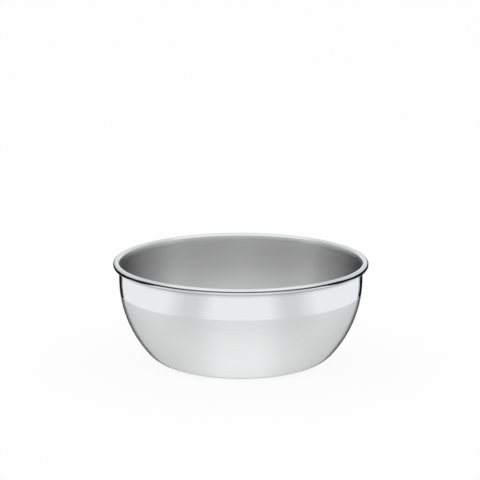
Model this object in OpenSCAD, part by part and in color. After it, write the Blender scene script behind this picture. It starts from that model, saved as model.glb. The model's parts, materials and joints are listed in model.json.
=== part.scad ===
// Lather bowl for wet shaving, drawn from one stainless sheet.
// The sheet has one thickness everywhere: a flat base, a round heel, a long
// wall arc, a short straight neck and an edge rolled outwards into a hollow bead.
// Millimetres, +Z up, origin at the middle of the base's underside.

/* [Overall] */
// Diameter over the rolled rim
rim_d = 110; // [98:1:136]
// Height from the surface it stands on to the top of the rim
bowl_h = 44; // [36:1:70]
// Diameter of the flat that it stands on
base_d = 61; // [44:1:76]
// Thickness of the sheet
sheet = 0.5; // [0.3:0.1:0.9]

/* [Rolled rim] */
// Diameter of the rolled bead
bead_d = 2.8; // [2.4:0.1:5]
// How far the sheet leans out of the neck before it rolls into the bead
lead_out = 0.2; // [0.05:0.05:0.6]
// Clearance between the curl's free edge and the neck
curl_gap = 0.2; // [0.05:0.05:0.3]

/* [Wall] */
// Length of the straight neck below the bead
neck_h = 5; // [2:0.5:9]
// Polished band, from the underside of the bead down to the polish line
band_h = 10.7; // [9.7:0.5:17.7]
// Radius of the heel, on its outer face
heel_r = 13.5; // [7:0.5:18]

/* [Hidden] */

$fn = 180;
// Turn of the outline between two points of an arc, degrees
wall_step = 2;
curl_step = 10;

bead_r = bead_d / 2;
base_r = base_d / 2;
bead_c = [rim_d / 2 - bead_r, bowl_h - bead_r];
// Level of the bead's underside, where the neck starts to lean out
seat_z = bowl_h - bead_d;
neck_z = seat_z - neck_h;
// Outer face of the neck
neck_r = rim_d / 2 - bead_d - lead_out + sheet;

// The sheet leans out of the neck on an arc that starts upright at the bead's
// underside and runs smoothly into the bead's circle, whose innermost point
// lies `lead_out` outside the neck's inner face.
lead_turn = 2 * atan(lead_out / bead_r);
lead_r = bead_r + bead_r / sin(lead_turn);
lead_c = [neck_r - sheet + lead_r, seat_z];
// Direction in which the curl stops short of the neck
curl_end = -acos(-(bead_c.x - neck_r - curl_gap) / bead_r);

// The wall arc leaves the neck upright and runs smoothly into the heel, and the
// heel runs smoothly into the base. Two right triangles give its angle and radius.
drop = neck_z - heel_r;
inset = neck_r - base_r - heel_r;
wall_turn = 2 * atan(inset / drop);
wall_r = heel_r + drop / sin(wall_turn);
wall_c = [neck_r - wall_r, neck_z];
heel_c = [base_r, heel_r];
// Turn of the wall arc from the neck to the polish line
polish_turn = asin((band_h - neck_h) / wall_r);

function on_circle(centre, radius, angle) = centre + radius * [cos(angle), sin(angle)];

// Points of an arc from one angle to another, without its last point
function arc(centre, radius, from, to, step = wall_step) =
    let (steps = ceil(abs(to - from) / step))
    [for (i = [0 : steps - 1]) on_circle(centre, radius, from + (to - from) * i / steps)];

// Each piece is the ring between two faces of the sheet. `depth` is how far a
// face lies below the one that shows: the bead's outside or the wall's outside.

// Up from the neck's inner face, over the top and round to the free edge, by
// way of the bead's topmost and outermost points
function curl_face(depth) = concat(
    arc(lead_c, lead_r - depth, 180, 180 - lead_turn, curl_step),
    arc(bead_c, bead_r - depth, 180 - lead_turn, 90, curl_step),
    arc(bead_c, bead_r - depth, 90, 0, curl_step),
    arc(bead_c, bead_r - depth, 0, curl_end, curl_step),
    [on_circle(bead_c, bead_r - depth, curl_end)]);

// The neck and the wall arc, down to the polish line
function band_face(depth) = concat(
    [[neck_r - depth, seat_z]],
    arc(wall_c, wall_r - depth, 0, -polish_turn),
    [on_circle(wall_c, wall_r - depth, -polish_turn)]);

// The rest of the wall arc and the heel, down to the flat of the base
function body_face(depth) = concat(
    arc(wall_c, wall_r - depth, -polish_turn, -wall_turn),
    arc(heel_c, heel_r - depth, -wall_turn, -90),
    [on_circle(heel_c, heel_r - depth, -90)]);

function reversed(points) = [for (i = [len(points) - 1 : -1 : 0]) points[i]];

// Ring of sheet between two faces that run the same way
module sheet_ring(outer_face, inner_face)
    rotate_extrude()
        polygon(concat(outer_face, reversed(inner_face)));

// Hollow bead, open at the slot between its free edge and the wall
module rolled_rim()
    color("gainsboro")
    sheet_ring(curl_face(0), curl_face(sheet));

// Straight neck and top of the wall, mirror polished outside
module polished_band()
    color("whitesmoke")
    sheet_ring(band_face(0), band_face(sheet));

// Lower wall and heel, brushed round the axis
module brushed_body()
    color("silver")
    sheet_ring(body_face(0), body_face(sheet));

// Flat disc that the bowl stands on
module base()
    color("darkgray")
    cylinder(r = base_r, h = sheet);

rolled_rim();
polished_band();
brushed_body();
base();
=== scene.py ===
# %% [markdown]
# # A lather bowl in steel
#
# The bowl is one thin sheet of stainless steel, pressed into a bowl, with its edge
# rolled outwards into a hollow bead. A mirror-polished band runs under the bead, and
# the rest is brushed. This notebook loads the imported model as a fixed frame, turns
# each piece again as a fine mesh, gives it its finish, and lights it like a piece of
# tableware in a studio. Lengths are in metres and angles in radians.

# %% Load the frame
import json
from math import acos, asin, atan, cos, pi, radians, sin, tan

import bmesh
import bpy
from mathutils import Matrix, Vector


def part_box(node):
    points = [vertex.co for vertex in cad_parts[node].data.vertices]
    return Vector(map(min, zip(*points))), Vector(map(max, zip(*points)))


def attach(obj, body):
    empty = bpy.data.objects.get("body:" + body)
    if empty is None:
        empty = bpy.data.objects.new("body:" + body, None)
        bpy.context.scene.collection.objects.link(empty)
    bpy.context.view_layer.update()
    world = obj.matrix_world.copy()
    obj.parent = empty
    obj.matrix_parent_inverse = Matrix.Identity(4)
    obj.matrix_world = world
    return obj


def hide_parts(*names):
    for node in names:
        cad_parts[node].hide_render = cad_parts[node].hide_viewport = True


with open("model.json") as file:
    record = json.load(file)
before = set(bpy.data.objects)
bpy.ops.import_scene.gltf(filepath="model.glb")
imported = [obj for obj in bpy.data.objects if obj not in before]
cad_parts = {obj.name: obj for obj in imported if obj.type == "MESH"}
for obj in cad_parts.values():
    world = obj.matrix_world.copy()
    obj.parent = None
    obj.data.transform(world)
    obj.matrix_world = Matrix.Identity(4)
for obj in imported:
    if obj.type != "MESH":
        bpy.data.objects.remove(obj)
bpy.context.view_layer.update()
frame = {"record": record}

# %% [markdown]
# ## The sizes
#
# A bowl like this is drawn as a section, a half outline that is turned about the axis.
# Every size that the frame holds is read from its boxes and its mounts, so the looks
# can't drift from the construction. The boxes come from a faceted mesh, which may miss
# the true size by a hundredth of a millimetre, so they are rounded to a tenth. Two sizes
# are in no box and no mount: the heel's radius, and the slot between the bead's free
# edge and the neck. They are written down here.

# %% Read the sizes from the frame
TENTH = 4  # decimals of a metre


def low(node):
    return [round(value, TENTH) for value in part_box(node)[0]]


def high(node):
    return [round(value, TENTH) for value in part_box(node)[1]]


ring_seat = next(m for m in frame["record"]["mounts"] if m["name"] == "ring_seat")

rim_radius, _, bowl_height = high("rolled_rim")
neck_radius = high("polished_band")[0]
base_radius, _, sheet = high("base")
seat_height = high("polished_band")[2]
polish_height = low("polished_band")[2]
neck_length = ring_seat["dims"]["length_mm"] / 1000
HEEL_RADIUS = 0.0135
SLOT_WIDTH = 0.0002
print("rim", rim_radius, "neck", neck_radius, "base", base_radius, "sheet", sheet)

# %% [markdown]
# ## The section
#
# The section is only straight lines and round arcs, as on a maker's drawing. The wall
# is one long arc that leaves the neck upright and runs smoothly into the heel's small
# arc, which runs smoothly into the flat base. Two arcs that meet smoothly have their
# centres in line with the meeting point, and that gives the long arc's radius.

# %% Work out the arcs
bead_radius = (bowl_height - seat_height) / 2
bead_centre = (rim_radius - bead_radius, seat_height + bead_radius)
lean = rim_radius - 2 * bead_radius - (neck_radius - sheet)
lead_turn = 2 * atan(lean / bead_radius)
lead_radius = bead_radius + bead_radius / sin(lead_turn)
lead_centre = (neck_radius - sheet + lead_radius, seat_height)
curl_end = acos((bead_centre[0] - neck_radius - SLOT_WIDTH) / bead_radius)

neck_bottom = seat_height - neck_length
wall_drop = neck_bottom - HEEL_RADIUS
wall_inset = neck_radius - base_radius - HEEL_RADIUS
wall_turn = 2 * atan(wall_inset / wall_drop)
wall_radius = HEEL_RADIUS + wall_drop / sin(wall_turn)
wall_centre = (neck_radius - wall_radius, neck_bottom)
heel_centre = (base_radius, HEEL_RADIUS)
polish_turn = asin((neck_bottom - polish_height) / wall_radius)
print(f"bead radius {bead_radius * 1000:.2f} mm, wall arc {wall_radius * 1000:.2f} mm")


# %% [markdown]
# ## Drawing an outline as a list of edges
#
# An outline is written down as named edges: a line from one point to another, or an
# arc with its centre, radius, starting angle and turn. The sheet's two faces are the
# same edges, one sheet thickness apart, and short cuts close the outline at its ends.

# %% Lines, arcs and cuts
def line(name, start, end, steps=1):
    return {"name": name, "start": start, "end": end, "steps": steps}


def arc(name, centre, radius, start, turn, steps):
    return {"name": name, "centre": centre, "radius": radius, "start": start,
            "turn": turn, "steps": steps}


def on_circle(centre, radius, angle):
    return (centre[0] + radius * cos(angle), centre[1] + radius * sin(angle))


def sheet_arc(name, centre, radius, start, turn, steps):
    """Both faces of a bent stretch of sheet; the radius is that of its showing face."""
    return [arc(name + " shown", centre, radius, start, turn, steps),
            arc(name + " back", centre, radius - sheet, start, turn, steps)]


def sheet_cut(name, centre, radius, angle):
    """The end of a stretch of sheet, cut square to it."""
    return line(name, on_circle(centre, radius, angle),
                on_circle(centre, radius - sheet, angle))


# %% The outline of each piece
BEAD_STEPS = 72
WALL_STEPS = 36
SHOULDER_STEPS = 8
LEAD_STEPS = 4
NECK_STEPS = 4
FLOOR_STEPS = 8

rim_outline = [
    *sheet_arc("lead", lead_centre, lead_radius, pi - lead_turn, lead_turn, LEAD_STEPS),
    *sheet_arc("curl", bead_centre, bead_radius, curl_end - pi,
               2 * pi - curl_end - lead_turn, BEAD_STEPS),
    sheet_cut("neck cut", lead_centre, lead_radius, pi),
    sheet_cut("free edge", bead_centre, bead_radius, curl_end - pi),
]
band_outline = [
    line("neck shown", (neck_radius, seat_height), (neck_radius, neck_bottom),
         NECK_STEPS),
    line("neck back", (neck_radius - sheet, seat_height),
         (neck_radius - sheet, neck_bottom), NECK_STEPS),
    *sheet_arc("shoulder", wall_centre, wall_radius, -polish_turn, polish_turn,
               SHOULDER_STEPS),
    line("neck cut", (neck_radius, seat_height), (neck_radius - sheet, seat_height)),
    sheet_cut("polish cut", wall_centre, wall_radius, -polish_turn),
]
body_outline = [
    *sheet_arc("wall", wall_centre, wall_radius, -wall_turn, wall_turn - polish_turn,
               WALL_STEPS),
    *sheet_arc("heel", heel_centre, HEEL_RADIUS, -pi / 2, pi / 2 - wall_turn,
               WALL_STEPS),
    sheet_cut("polish cut", wall_centre, wall_radius, -polish_turn),
    sheet_cut("base cut", heel_centre, HEEL_RADIUS, -pi / 2),
]
base_outline = [
    line("underside", (0, 0), (base_radius, 0), FLOOR_STEPS),
    line("floor", (0, sheet), (base_radius, sheet), FLOOR_STEPS),
    line("base cut", (base_radius, 0), (base_radius, sheet)),
]
print("edges", [len(o) for o in (rim_outline, band_outline, body_outline, base_outline)])


# %% [markdown]
# ## Turning an outline with Geometry Nodes
#
# A lathe is a rule, so Geometry Nodes can be the lathe. The tree draws each edge of the
# outline, joins them into one closed curve, sweeps the curve along a straight path, and
# then bends that path into a full circle by setting every point's position from its
# angle. A Spin or a Screw modifier would do the same shape, but here every size stays a
# named input of the tree, and the faces that look into the bowl can be told apart.

# %% Helpers to build a node tree
def add_node(tree, kind, inputs=None, **settings):
    node = tree.nodes.new(kind)
    for name, value in settings.items():
        setattr(node, name, value)
    for name, value in (inputs or {}).items():
        if isinstance(value, bpy.types.NodeSocket):
            tree.links.new(value, node.inputs[name])
        else:
            node.inputs[name].default_value = value
    return node


def calculate(tree, operation, first, second=0.0, third=0.0):
    inputs = {0: first, 1: second, 2: third}
    return add_node(tree, "ShaderNodeMath", inputs, operation=operation).outputs[0]


# %% One tree for each outline
FULL_TURN_STEPS = 384
MERGE_DISTANCE = 1e-6
SHARP_ANGLE = radians(40)


def size_inputs(tree, outline, others):
    """Gives the tree a named input for each size, and returns the values by identifier."""
    values = {}

    def declare(name, kind, value):
        socket = tree.interface.new_socket(name, in_out="INPUT", socket_type=kind)
        values[socket.identifier] = value

    declare("steps in a full turn", "NodeSocketInt", FULL_TURN_STEPS)
    for name, value in others.items():
        declare(name, "NodeSocketFloat", value)
    for edge in outline:
        for key, value in edge.items():
            if key == "name":
                continue
            if key == "steps":
                declare(f"{edge['name']} steps", "NodeSocketInt", value)
            elif isinstance(value, tuple):
                declare(f"{edge['name']} {key}", "NodeSocketVector", (*value, 0.0))
            else:
                declare(f"{edge['name']} {key}", "NodeSocketFloat", value)
    return values


def draw_edge(tree, edge, size):
    """The nodes of one edge of the outline, as a curve in the plane of the section."""
    name = edge["name"]
    points = calculate(tree, "ADD", size[f"{name} steps"], 1.0)
    if "centre" not in edge:
        drawn = add_node(tree, "GeometryNodeCurvePrimitiveLine",
                         {"Start": size[f"{name} start"], "End": size[f"{name} end"]})
        return add_node(tree, "GeometryNodeResampleCurve",
                        {"Curve": drawn.outputs["Curve"], "Count": points}).outputs[0]
    drawn = add_node(tree, "GeometryNodeCurveArc",
                     {"Resolution": points, "Radius": size[f"{name} radius"],
                      "Start Angle": size[f"{name} start"],
                      "Sweep Angle": size[f"{name} turn"]}, mode="RADIUS")
    return add_node(tree, "GeometryNodeTransform",
                    {"Geometry": drawn.outputs["Curve"],
                     "Translation": size[f"{name} centre"]}).outputs[0]


def capture(tree, geometry, kind, name, value):
    node = add_node(tree, "GeometryNodeCaptureAttribute")
    node.capture_items.new(kind, name)
    tree.links.new(geometry, node.inputs["Geometry"])
    tree.links.new(value, node.inputs[name])
    return node.outputs["Geometry"], node.outputs[name]


def lathe(name, outline, outside, inside, lean, reach):
    """Builds the tree that turns an outline; returns it with its input values.

    A face is inside if it is nearer to the axis than reach, and if lean times its
    upward facing is more than its outward facing.
    """
    tree = bpy.data.node_groups.new(name, "GeometryNodeTree")
    tree.interface.new_socket("Geometry", in_out="INPUT", socket_type="NodeSocketGeometry")
    tree.interface.new_socket("Geometry", in_out="OUTPUT", socket_type="NodeSocketGeometry")
    values = size_inputs(tree, outline, {"inside lean": lean, "inside reach": reach})
    size = tree.nodes.new("NodeGroupInput").outputs

    edges = add_node(tree, "GeometryNodeJoinGeometry")
    for edge in outline:
        tree.links.new(draw_edge(tree, edge, size), edges.inputs[0])
    wires = add_node(tree, "GeometryNodeCurveToMesh", {"Curve": edges.outputs[0]})
    joined = add_node(tree, "GeometryNodeMergeByDistance",
                      {"Geometry": wires.outputs[0], "Distance": MERGE_DISTANCE})
    section = add_node(tree, "GeometryNodeMeshToCurve", {"Mesh": joined.outputs[0]})
    place = add_node(tree, "GeometryNodeInputPosition").outputs[0]
    section, drawn_at = capture(tree, section.outputs[0], "VECTOR", "Drawn at", place)

    straight = add_node(tree, "GeometryNodeCurvePrimitiveLine", {"End": (0.0, 0.0, 1.0)})
    stops = calculate(tree, "ADD", size["steps in a full turn"], 1.0)
    path = add_node(tree, "GeometryNodeResampleCurve",
                    {"Curve": straight.outputs[0], "Count": stops})
    along = add_node(tree, "GeometryNodeSplineParameter").outputs["Factor"]
    path, turned = capture(tree, path.outputs[0], "FLOAT", "Turned", along)

    swept = add_node(tree, "GeometryNodeCurveToMesh",
                     {"Curve": path, "Profile Curve": section})
    angle = calculate(tree, "MULTIPLY", turned, 2 * pi)
    drawn = add_node(tree, "ShaderNodeSeparateXYZ", {"Vector": drawn_at}).outputs
    radius, height = drawn["X"], drawn["Y"]
    position = add_node(tree, "ShaderNodeCombineXYZ", {
        "X": calculate(tree, "MULTIPLY", radius, calculate(tree, "COSINE", angle)),
        "Y": calculate(tree, "MULTIPLY", radius, calculate(tree, "SINE", angle)),
        "Z": height})
    bent = add_node(tree, "GeometryNodeSetPosition",
                    {"Geometry": swept.outputs[0], "Position": position.outputs[0]})
    closed = add_node(tree, "GeometryNodeMergeByDistance",
                      {"Geometry": bent.outputs[0], "Distance": MERGE_DISTANCE})

    bend = add_node(tree, "GeometryNodeInputMeshEdgeAngle").outputs["Unsigned Angle"]
    smooth = add_node(tree, "GeometryNodeSetShadeSmooth",
                      {"Geometry": closed.outputs[0]}, domain="FACE")
    sharp = add_node(tree, "GeometryNodeSetShadeSmooth",
                     {"Geometry": smooth.outputs[0], "Shade Smooth": False,
                      "Selection": calculate(tree, "GREATER_THAN", bend, SHARP_ANGLE)},
                     domain="EDGE")
    real = add_node(tree, "GeometryNodeRealizeInstances", {"Geometry": sharp.outputs[0]})
    all_over = add_node(tree, "GeometryNodeSetMaterial",
                        {"Geometry": real.outputs[0], "Material": outside})

    facing = add_node(tree, "ShaderNodeSeparateXYZ", {
        "Vector": add_node(tree, "GeometryNodeInputNormal").outputs[0]}).outputs
    at = add_node(tree, "ShaderNodeSeparateXYZ", {"Vector": place}).outputs
    outwards = calculate(tree, "ADD", calculate(tree, "MULTIPLY", facing["X"], at["X"]),
                         calculate(tree, "MULTIPLY", facing["Y"], at["Y"]))
    upwards = calculate(tree, "MULTIPLY", facing["Z"], radius)
    upwards = calculate(tree, "MULTIPLY", upwards, size["inside lean"])
    looks_in = calculate(tree, "MULTIPLY", calculate(tree, "GREATER_THAN", upwards, outwards),
                         calculate(tree, "LESS_THAN", radius, size["inside reach"]))
    finished = add_node(tree, "GeometryNodeSetMaterial",
                        {"Geometry": all_over.outputs[0], "Material": inside,
                         "Selection": looks_in})
    end = tree.nodes.new("NodeGroupOutput")
    tree.links.new(finished.outputs[0], end.inputs[0])
    return tree, values


# %% [markdown]
# A tree only works through a modifier, and the finished model should be plain meshes.
# So the modifier sits on an empty mesh, its inputs are set by identifier, and the
# evaluated result is copied out as a new mesh, without the modifier. A turned sweep may
# come out inside out, so the faces of the closed mesh are pointed outwards at the end.

# %% From tree to plain mesh
def turn(name, outline, outside, inside, lean=1.0, reach=rim_radius):
    tree, values = lathe(name + " lathe", outline, outside, inside, lean, reach)
    blank = bpy.data.objects.new(name + " blank", bpy.data.meshes.new(name + " blank"))
    bpy.context.scene.collection.objects.link(blank)
    modifier = blank.modifiers.new("lathe", "NODES")
    modifier.node_group = tree
    for identifier, value in values.items():
        modifier[identifier] = value
    evaluated = blank.evaluated_get(bpy.context.evaluated_depsgraph_get())
    mesh = bpy.data.meshes.new_from_object(evaluated)
    bpy.data.objects.remove(blank)

    shape = bmesh.new()
    shape.from_mesh(mesh)
    bmesh.ops.recalc_face_normals(shape, faces=shape.faces)
    open_edges = sum(not edge.is_manifold for edge in shape.edges)
    volume = shape.calc_volume(signed=True)
    shape.to_mesh(mesh)
    shape.free()

    mesh.name = name
    piece = bpy.data.objects.new(name, mesh)
    bpy.context.scene.collection.objects.link(piece)
    print(f"{name}: {len(mesh.polygons)} faces, {open_edges} open edges, "
          f"{volume * 1e9:.0f} mm3, materials {[m.name for m in mesh.materials]}")
    return piece


# %% [markdown]
# ## The finishes
#
# All of it is one steel. What changes is how finely it was ground, and where shade is
# painted into its colour. A grinding belt or a brush that is held against the turning bowl
# leaves fine lines round the axis, and those lines spread a reflection across them, so a
# brushed wall shows what lies above and below it as a soft blur and what lies beside it
# still fairly sharp. A Noise Texture makes the lines: it changes fast from the base to the
# rim, and slowly on the way round. It is read in four dimensions, because the way round
# is the two numbers x and y, and so it closes on itself without a seam.

# %% Lines round the axis
def lines_round_axis(tree, fine, along, detail=3.0):
    """Noise from 0 to 1, with lines 1/fine metres apart that last about 1/along metres."""
    place = add_node(tree, "ShaderNodeTexCoord").outputs["Object"]
    x, y, z = add_node(tree, "ShaderNodeSeparateXYZ", {0: place}).outputs
    across = calculate(tree, "SQRT", calculate(tree, "ADD", calculate(tree, "MULTIPLY", x, x),
                                               calculate(tree, "MULTIPLY", y, y)))
    stretched = add_node(tree, "ShaderNodeCombineXYZ", {
        0: calculate(tree, "MULTIPLY", across, fine),
        1: calculate(tree, "MULTIPLY", z, fine),
        2: calculate(tree, "MULTIPLY", x, along)}).outputs[0]
    return add_node(tree, "ShaderNodeTexNoise", {
        "Vector": stretched, "W": calculate(tree, "MULTIPLY", y, along), "Scale": 1.0,
        "Detail": detail, "Roughness": 0.6}, noise_dimensions="4D").outputs["Fac"]


NOISE_LOW, NOISE_HIGH = 0.3, 0.7  # where most of a Noise Texture's values lie


def spread(tree, value, low_end, high_end):
    """Maps noise to a range."""
    return add_node(tree, "ShaderNodeMapRange", {
        "Value": value, "From Min": NOISE_LOW, "From Max": NOISE_HIGH,
        "To Min": low_end, "To Max": high_end}).outputs["Result"]


def tone_ramp(tree, value, tones):
    """A colour ramp with a grey tone, or a colour, at each position."""
    ramp = add_node(tree, "ShaderNodeValToRGB", {0: value})
    stops = ramp.color_ramp.elements
    for index, (position, tone) in enumerate(tones.items()):
        stop = stops[index] if index < 2 else stops.new(position)
        stop.position = position
        stop.color = (*tone, 1.0) if isinstance(tone, tuple) else (tone, tone, tone, 1.0)
    return ramp.outputs[0]


# %% [markdown]
# Bare steel is a Principled shader with Metallic at 1, whose base colour is the share
# of light it throws back. Specular Tint is the tone at a grazing angle. Clean mirror
# steel stays bright there. A brushed surface gets darker, because each of its tiny
# ridges hides the next, and the shader doesn't work that out by itself.

# %% Bare steel
MIRROR = (0.815, 0.823, 0.84)
OUTER_SATIN = (0.875, 0.88, 0.887)
# The inside's darker colour is painted shade for the inside of the bowl.
SHADED_INNER_SATIN = (0.67, 0.672, 0.675)


def new_steel(name, colour, edge, anisotropic=0.0):
    material = bpy.data.materials.new(name)
    material.use_nodes = True
    tree = material.node_tree
    shader = tree.nodes["Principled BSDF"]
    shader.inputs["Base Color"].default_value = (*colour, 1.0)
    shader.inputs["Metallic"].default_value = 1.0
    shader.inputs["Anisotropic"].default_value = anisotropic
    shader.inputs["Specular Tint"].default_value = (edge, edge, edge, 1.0)
    return material, tree, shader


# %% [markdown]
# Brushed steel takes four things from the lines: how rough it is, how light it is, the
# grooves' small bumps, and the direction in which it spreads a reflection. The last is
# what Anisotropic does, and it needs to know which way the lines run. A radial tangent
# about Z runs round the axis, and a quarter turn of it spreads the light up and down.
# The inside gets a darker base colour than the outside, which is painted shade: the
# inside of the bowl gets less light. So there are two versions.

# %% Brushed steel
SPREAD_ACROSS = 0.85
QUARTER_TURN = 0.25
FINE_LINES = {"fine": 2200.0, "along": 35.0}
BROAD_LINES = {"fine": 160.0, "along": 20.0, "detail": 1.0}
FINE_SHARE = 0.7
ROUGHNESS_RANGE = 0.05
TONE_RANGE = 0.04


def brushed_steel(name, colour, roughness, edge, groove):
    material, tree, shader = new_steel(name, colour, edge, SPREAD_ACROSS)
    shader.inputs["Anisotropic Rotation"].default_value = QUARTER_TURN
    tangent = add_node(tree, "ShaderNodeTangent", direction_type="RADIAL", axis="Z")
    tree.links.new(tangent.outputs[0], shader.inputs["Tangent"])

    lines = lines_round_axis(tree, **FINE_LINES)
    broad = lines_round_axis(tree, **BROAD_LINES)
    tree.links.new(spread(tree, lines, roughness - ROUGHNESS_RANGE,
                          roughness + ROUGHNESS_RANGE), shader.inputs["Roughness"])
    mixed = calculate(tree, "ADD", calculate(tree, "MULTIPLY", lines, FINE_SHARE),
                      calculate(tree, "MULTIPLY", broad, 1.0 - FINE_SHARE))
    tone = spread(tree, mixed, 1.0 - TONE_RANGE, 1.0 + TONE_RANGE)
    toned = add_node(tree, "ShaderNodeVectorMath", {0: colour, 1: tone},
                     operation="MULTIPLY")
    tree.links.new(toned.outputs[0], shader.inputs["Base Color"])
    grooves = add_node(tree, "ShaderNodeBump", {"Height": lines, "Distance": groove})
    tree.links.new(grooves.outputs[0], shader.inputs["Normal"])
    print(f"{name}: roughness {roughness}, grooves {groove * 1e6:.0f} thousandths of a mm")
    return material


satin_steel = brushed_steel("satin_steel", OUTER_SATIN, roughness=0.36, edge=0.66,
                            groove=5e-6)
# The inside's steel is a darker copy of the same steel: painted shade.
shaded_inner_steel = brushed_steel("shaded_inner_steel", SHADED_INNER_SATIN, roughness=0.33, edge=0.52,
                            groove=4e-6)

# %% [markdown]
# The mirror band is ground finer and then buffed. It still carries a trace of the
# lines, and pressing leaves a slight waviness that bends a reflection's edges. In the
# narrow gap under the bead its base colour is darkened, as painted shade where the bead
# shades the neck. A colour ramp over the height darkens it, from 2 mm under the bead to
# the level of the bead's middle.

# %% Mirror steel
BUFFED_LINES = {"fine": 1500.0, "along": 12.0}
BUFFED_ROUGHNESS = (0.03, 0.08)
# Painted shade under the bead: where it starts below the bead, and its tones by height.
SHADE_BELOW_SEAT = 0.002
PAINTED_SHADE_RAMP = {0.0: 1.0, 0.18: 0.98, 0.59: 0.68, 0.62: 0.5, 0.74: 0.7, 0.92: 1.0}
WAVES_PER_METRE = 70.0
WAVE_DEPTH = 1.5e-5


def mirror(name):
    material, tree, shader = new_steel(name, MIRROR, edge=0.95)
    lines = lines_round_axis(tree, **BUFFED_LINES)
    tree.links.new(spread(tree, lines, *BUFFED_ROUGHNESS), shader.inputs["Roughness"])

    place = add_node(tree, "ShaderNodeTexCoord").outputs["Object"]
    height = add_node(tree, "ShaderNodeSeparateXYZ", {0: place}).outputs["Z"]
    # Painted shade: the base colour gets darker in the gap under the bead.
    share = add_node(tree, "ShaderNodeMapRange", {
        "Value": height, "From Min": seat_height - SHADE_BELOW_SEAT,
        "From Max": bead_centre[1]}).outputs["Result"]
    colours = {at: tuple(tone * part for part in MIRROR) for at, tone in PAINTED_SHADE_RAMP.items()}
    tree.links.new(tone_ramp(tree, share, colours), shader.inputs["Base Color"])

    wavy = add_node(tree, "ShaderNodeTexNoise", {
        "Vector": place, "Scale": WAVES_PER_METRE, "Detail": 1.0}).outputs["Fac"]
    waves = add_node(tree, "ShaderNodeBump", {"Height": wavy, "Distance": WAVE_DEPTH})
    tree.links.new(waves.outputs[0], shader.inputs["Normal"])
    return material


mirror_steel = mirror("mirror_steel")

# %% [markdown]
# ## The four pieces
#
# Each piece stands for one solid of the frame. On the bead, the brushed inside ends
# where the wall curls over: a face counts as inside there only if it lies near the
# axis, and it looks up less than it looks inwards, so the lean is turned round.

# %% Turn the pieces
MIRROR_REACH = 0.9  # of the bead's radius, inwards from its middle
satin_ends_at = bead_centre[0] - MIRROR_REACH * bead_radius
rim = turn("bead", rim_outline, mirror_steel, shaded_inner_steel, lean=-1.0, reach=satin_ends_at)
band = turn("mirror_band", band_outline, mirror_steel, shaded_inner_steel)
body = turn("brushed_bowl", body_outline, satin_steel, shaded_inner_steel)
base = turn("flat_base", base_outline, satin_steel, shaded_inner_steel)

# %% Fit the pieces to the frame
for piece, node, slot in ((rim, "rolled_rim", "polished_steel"),
                          (band, "polished_band", "polished_steel"),
                          (body, "brushed_body", "brushed_steel"),
                          (base, "base", "brushed_steel")):
    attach(piece, "root")
    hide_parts(node)
    print(piece.name, "stands for", node, "in", slot)

# %% [markdown]
# ## The camera
#
# A long lens from 0.9 metres away keeps the ellipses of the rim and the base slim, as
# tableware is usually shown. The camera is 13 degrees above the rim, so that the far
# wall shows inside. It is aimed a little above the bowl, which puts the bowl at its
# place in the frame without any lens shift.

# %% Place the camera
CAMERA_DISTANCE = 0.8864
CAMERA_RISE = radians(13.144)
CAMERA_PITCH = radians(12.513)
CAMERA_TURN = radians(0.0237)

camera_data = bpy.data.cameras.new("camera")
camera_data.lens = 154.07
camera_data.sensor_width = 36
camera = bpy.data.objects.new("camera", camera_data)
bpy.context.scene.collection.objects.link(camera)
camera.location = (0, -CAMERA_DISTANCE * cos(CAMERA_RISE),
                   bead_centre[1] + CAMERA_DISTANCE * sin(CAMERA_RISE))
camera.rotation_euler = (pi / 2 - CAMERA_PITCH, 0, CAMERA_TURN)
bpy.context.scene.camera = camera
bpy.context.scene.view_settings.view_transform = "Standard"
print("camera at", [round(value, 3) for value in camera.location])

# %% [markdown]
# ## Floor and light
#
# The bowl stands on a pale floor under an even white sky, which is all the light there
# is: a world of strength 1 lights a colour as it is written. The floor should read as
# plain white, also in the steel, and still keep the bowl's shadow. So its shader is
# mixed with white light for the rays that look at it, and only a tenth of the shaded
# floor is left there.

# %% Helpers for the stage
def stage_mesh(name, points, faces, material):
    mesh = bpy.data.meshes.new(name)
    mesh.from_pydata(points, [], faces)
    mesh.materials.append(material)
    thing = bpy.data.objects.new(name, mesh)
    bpy.context.scene.collection.objects.link(thing)
    return thing


def white_where_seen(tree, shaded, share):
    """Mixes white light over a shader where a camera, glossy or transmission ray sees it."""
    rays = add_node(tree, "ShaderNodeLightPath").outputs
    seen = calculate(tree, "MAXIMUM", rays["Is Camera Ray"], rays["Is Glossy Ray"])
    seen = calculate(tree, "MAXIMUM", seen, rays["Is Transmission Ray"])
    white = add_node(tree, "ShaderNodeEmission", {"Strength": 1.0})
    return add_node(tree, "ShaderNodeMixShader", {
        0: calculate(tree, "MULTIPLY", seen, share), 1: shaded,
        2: white.outputs[0]}).outputs[0]


# %% Floor and sky
FLOOR_REACH = 4.0
FLOOR_TONE = (0.9, 0.9, 0.9, 1)
FLOOR_ROUGHNESS = 0.9
WHITE_SHARE = 0.9

floor_paint = bpy.data.materials.new("floor_paint")
floor_paint.use_nodes = True
floor_tree = floor_paint.node_tree
floor_shader = floor_tree.nodes["Principled BSDF"]
floor_shader.inputs["Base Color"].default_value = FLOOR_TONE
floor_shader.inputs["Roughness"].default_value = FLOOR_ROUGHNESS
floor_tree.links.new(white_where_seen(floor_tree, floor_shader.outputs[0], WHITE_SHARE),
                     floor_tree.nodes["Material Output"].inputs["Surface"])
corners = [(sx * FLOOR_REACH, sy * FLOOR_REACH, 0)
           for sx, sy in ((-1, -1), (1, -1), (1, 1), (-1, 1))]
stage_mesh("floor", corners, [(0, 1, 2, 3)], floor_paint)

sky = bpy.data.worlds.new("studio")
bpy.context.scene.world = sky
sky.use_nodes = True
sky.node_tree.nodes["Background"].inputs["Color"].default_value = (1, 1, 1, 1)
sky.node_tree.nodes["Background"].inputs["Strength"].default_value = 1.0

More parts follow.
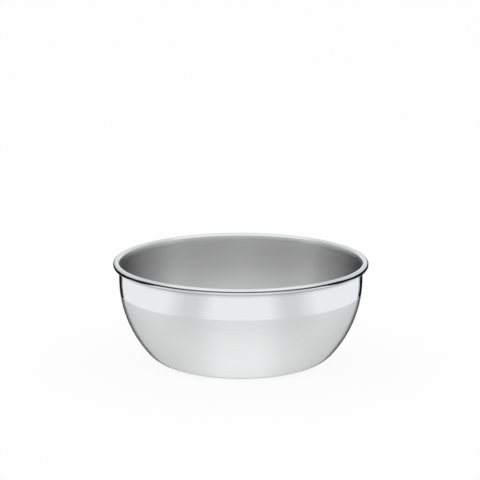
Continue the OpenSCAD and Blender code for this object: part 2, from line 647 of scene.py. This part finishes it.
# %% [markdown]
# ## Cards for the reflections
#
# Under an even white sky, steel looks like white paper, because a mirror only shows its
# surroundings. A studio for tableware therefore has cards round it, out of view: light
# grey ones draw soft stripes, and dark ones draw lines. Here a card is a thin mesh with
# a flat tone that only a reflection can see. Camera rays, shadow rays and diffuse rays
# pass through it, so it neither shows nor changes the light.

# %% How a card is made
def around(radius, height, degrees):
    """Points at that radius and height; the angles start at the camera's side."""
    return [(radius * sin(radians(d)), -radius * cos(radians(d)), height) for d in degrees]


def card_paint(name, tones, fade=None):
    """A glow whose tone goes by degrees from the camera's side, left and right alike.

    fade gives two heights between which it turns white.
    """
    paint = bpy.data.materials.new(name + "_paint")
    paint.use_nodes = True
    tree = paint.node_tree
    place = add_node(tree, "ShaderNodeTexCoord").outputs["Object"]
    x, y, z = add_node(tree, "ShaderNodeSeparateXYZ", {0: place}).outputs
    angle = calculate(tree, "ARCTAN2", calculate(tree, "ABSOLUTE", x),
                      calculate(tree, "MULTIPLY", y, -1.0))
    tone = tone_ramp(tree, calculate(tree, "DIVIDE", angle, pi),
                     {degrees / 180: tone for degrees, tone in tones.items()})
    if fade:
        share = add_node(tree, "ShaderNodeMapRange", {
            "Value": z, "From Min": fade[0], "From Max": fade[1]},
            interpolation_type="SMOOTHSTEP").outputs[0]
        tone = add_node(tree, "ShaderNodeMix", {0: share, 6: tone, 7: (1, 1, 1, 1)},
                        data_type="RGBA").outputs[2]
    glow = add_node(tree, "ShaderNodeEmission", {"Color": tone})
    tree.links.new(glow.outputs[0], tree.nodes["Material Output"].inputs["Surface"])
    return paint


def card(name, points, faces, paint):
    thing = stage_mesh(name, points, faces, paint)
    thing.visible_camera = False
    thing.visible_diffuse = False
    thing.visible_shadow = False
    thing.visible_transmission = False


def strip_card(name, edge, other_edge, paint):
    """A strip between two rows of points."""
    faces = [(i, i + 1, len(edge) + i + 1, len(edge) + i) for i in range(len(edge) - 1)]
    card(name, edge + other_edge, faces, paint)


RING_STEPS = 120


def slices(first, last, steps):
    """Evenly spaced values from first to last."""
    return [first + (last - first) * step / steps for step in range(steps + 1)]


def ring_card(name, low_edge, high_edge, tones, first=-180, last=180, fade=None):
    """A strip between two circles, or parts of them; an edge is a radius and a height."""
    degrees = slices(first, last, RING_STEPS)
    strip_card(name, around(*low_edge, degrees), around(*high_edge, degrees),
               card_paint(name, tones, fade))


# %% [markdown]
# Five rings lie on the floor. The thin dark one by the foot is a painted contact shadow,
# the dark line where the bowl meets the floor. The next two are what the brushed wall
# shows: lighter in front, and light grey at the sides, which rounds the wall off. The
# fourth draws the mirror band's two grey stripes, and the far one is dark. Above the rim
# stand two more. The dark one in front of the bowl darkens the inside and draws the fine
# line along the bead, and the light grey one behind gives the bead its soft tone. Degrees
# are counted from the camera's side, so that 180 is behind the bowl.

# %% Cards on the floor and round the horizon
LIFT = 0.0002
FOOT, NEAR, MIDDLE, STRIPES, FAR, END = 0.0306, 0.0354, 0.073, 0.10, 0.23, 1.50
FRONT_RING = {"radius": 0.08, "low": 0.042, "high": 0.072, "fade": (0.058, 0.072)}
BACK_RING = {"radius": 0.40, "low": 0.04, "high": 0.70, "fade": (0.50, 0.70)}
SIDE = 85


def floor_card(name, inner, outer, tones):
    ring_card(name, (inner, LIFT), (outer, LIFT), tones)


def horizon_card(name, ring, tones, first, last):
    ring_card(name, (ring["radius"], ring["low"]), (ring["radius"], ring["high"]), tones,
              first, last, ring["fade"])


# This ring is a painted contact shadow, seen only in the steel's reflections.
floor_card("contact_shadow_card", FOOT, NEAR, {0: 0.04, 180: 0.04})
floor_card("near_card", NEAR, MIDDLE, {
    0: 1.0, 13: 1.0, 30: 0.85, 50: 0.78, 130: 0.78, 150: 0.85, 167: 1.0, 180: 1.0})
floor_card("middle_card", MIDDLE, STRIPES, {
    0: 0.77, 13: 0.77, 28: 0.69, 50: 0.72, 130: 0.72, 152: 0.69, 167: 0.77, 180: 0.77})
floor_card("stripe_card", STRIPES, FAR, {
    0: 1.0, 21: 1.0, 35: 0.775, 45: 0.775, 64: 1.0,
    138: 1.0, 148: 0.775, 156: 0.775, 166: 1.0, 180: 1.0})
floor_card("far_card", FAR, END, {
    0: 0.60, 40: 0.50, 60: 0.15, 180: 0.25})
horizon_card("front_card", FRONT_RING, {
    0: 0.15, 40: 0.10, 65: 0.03, 85: 0.75, 180: 0.75}, -SIDE, SIDE)
horizon_card("back_card", BACK_RING, {
    0: 0.75, 158: 0.75, 168: 0.97, 173: 0.95, 177: 0.76, 180: 0.75}, SIDE, 360 - SIDE)

# %% [markdown]
# ## Black ribbons under the bead
#
# At the bowl's sides, the underside of the bead is a thick black line: painted shade
# under the bead, drawn by black cards in its reflection. A black ribbon stands just outside
# the bead there, with a lip that reaches in under it. Both grow from nothing and end in
# nothing, so that the line swells and thins out like a calligrapher's stroke.

# %% The ribbon and its lip
BLACK = {0: 0.01, 180: 0.01}
RIBBON_GAP = 0.0025
RIBBON_LOW = 0.0389
RIBBON_HIGH = 0.0441
LIP_END = neck_radius + 0.0006
LIP_HEIGHT = seat_height - 0.0001
RIBBON_FIRST, RIBBON_LAST = 34, 125  # degrees
RIBBON_SWELL = (RIBBON_FIRST, 52, 100, RIBBON_LAST)
LIP_SWELL = (40, 84, 100, RIBBON_LAST)
black_paint = card_paint("black", BLACK)


def swell(degrees, start, full, easing, end):
    """0 before start, 1 from full to easing, 0 again from end on."""
    return max(0.0, min(1.0, (degrees - start) / (full - start),
                        (end - degrees) / (end - easing)))


# The ribbon and its lip paint the shade under the bead into the bead's reflection.
def ribbon(side, sign):
    radius = rim_radius + RIBBON_GAP
    degrees = range(RIBBON_FIRST, RIBBON_LAST + 1)
    turned = [sign * d for d in degrees]
    lower = [around(radius, RIBBON_HIGH - (RIBBON_HIGH - RIBBON_LOW)
                    * swell(d, *RIBBON_SWELL), [sign * d])[0] for d in degrees]
    strip_card(side + "_ribbon", lower, around(radius, RIBBON_HIGH, turned), black_paint)
    inner = [around(radius - (radius - LIP_END) * swell(d, *LIP_SWELL),
                    LIP_HEIGHT, [sign * d])[0] for d in degrees]
    strip_card(side + "_lip", inner, around(radius, LIP_HEIGHT, turned), black_paint)


ribbon("left", -1)
ribbon("right", 1)

# %% [markdown]
# ## Black combs for the outline
#
# Bright steel on a white ground needs a dark outline, or its edge is lost. In a studio
# two black flags behind the bowl would do that, but then the bowl's back would be
# black, seen from there. Here a black comb stands on each side of the bowl instead. Its
# vanes are as narrow as a hair and stand square on the wall, a quarter of a degree
# apart. A reflection that leaves the wall at a low angle, as it does at the outline,
# runs into the next vane. One that leaves steeply passes between them. A vane's width,
# as a share of the gap, sets the angle below which nothing gets through. The outline
# is thickest on the mirror band, and there the combs reach their full width sooner.

# %% The combs
VANE_PITCH = 0.25  # degrees
VANE_LIFT = 0.00001
EASE_OUT, COMB_END = 94, 114  # degrees between which they end in nothing
COMB_FOOT = radians(74)  # slope of the heel where the vanes start
NECK_TOP_GAP = 0.0002
WALL_COMB_STEPS = 16
BAND_COMB_STEPS = 6
near_by = asin(neck_radius / CAMERA_DISTANCE) * 180 / pi


def comb(name, profile, width_share, margin, growth, more=0.0):
    """Vanes along a profile of (radius, height, slope) points, on both sides.

    They start margin degrees before the wall turns away from the camera, and more
    degrees earlier for each radian that the wall slopes inwards. They reach their full
    width after growth degrees.
    """
    points, faces = [], []
    pitch = radians(VANE_PITCH)
    for sign in (-1, 1):
        for degrees in [VANE_PITCH * number for number in range(int(180 / VANE_PITCH))]:
            for bottom, top in zip(profile, profile[1:]):
                turned_away = acos(tan(CAMERA_RISE) * tan(bottom[2])) * 180 / pi
                first = turned_away - near_by - margin - more * bottom[2]
                width = (width_share * pitch * bottom[0]
                         * swell(degrees, first, first + growth, EASE_OUT, COMB_END))
                if width <= 0:
                    continue
                faces.append(tuple(range(len(points), len(points) + 4)))
                for (radius, height, slope), out in (
                        (bottom, VANE_LIFT), (top, VANE_LIFT),
                        (top, VANE_LIFT + width), (bottom, VANE_LIFT + width)):
                    points += around(radius + out * cos(slope), height - out * sin(slope),
                                     [sign * degrees])
    card(name, points, faces, black_paint)
    print(name, len(faces), "vane faces")


wall_profile = [(*on_circle(heel_centre, HEEL_RADIUS, -slope), slope)
                for slope in slices(COMB_FOOT, wall_turn, WALL_COMB_STEPS)[:-1]]
wall_profile += [(*on_circle(wall_centre, wall_radius, -slope), slope)
                 for slope in slices(wall_turn, polish_turn, WALL_COMB_STEPS)]
band_profile = [(*on_circle(wall_centre, wall_radius, -slope), slope)
                for slope in slices(polish_turn, 0.0, BAND_COMB_STEPS)]
band_profile.append((neck_radius, seat_height - NECK_TOP_GAP, 0.0))
comb("wall_comb", wall_profile, width_share=0.30, margin=13.0, growth=8.0, more=8.0)
comb("band_comb", band_profile, width_share=0.30, margin=15.0, growth=6.0)
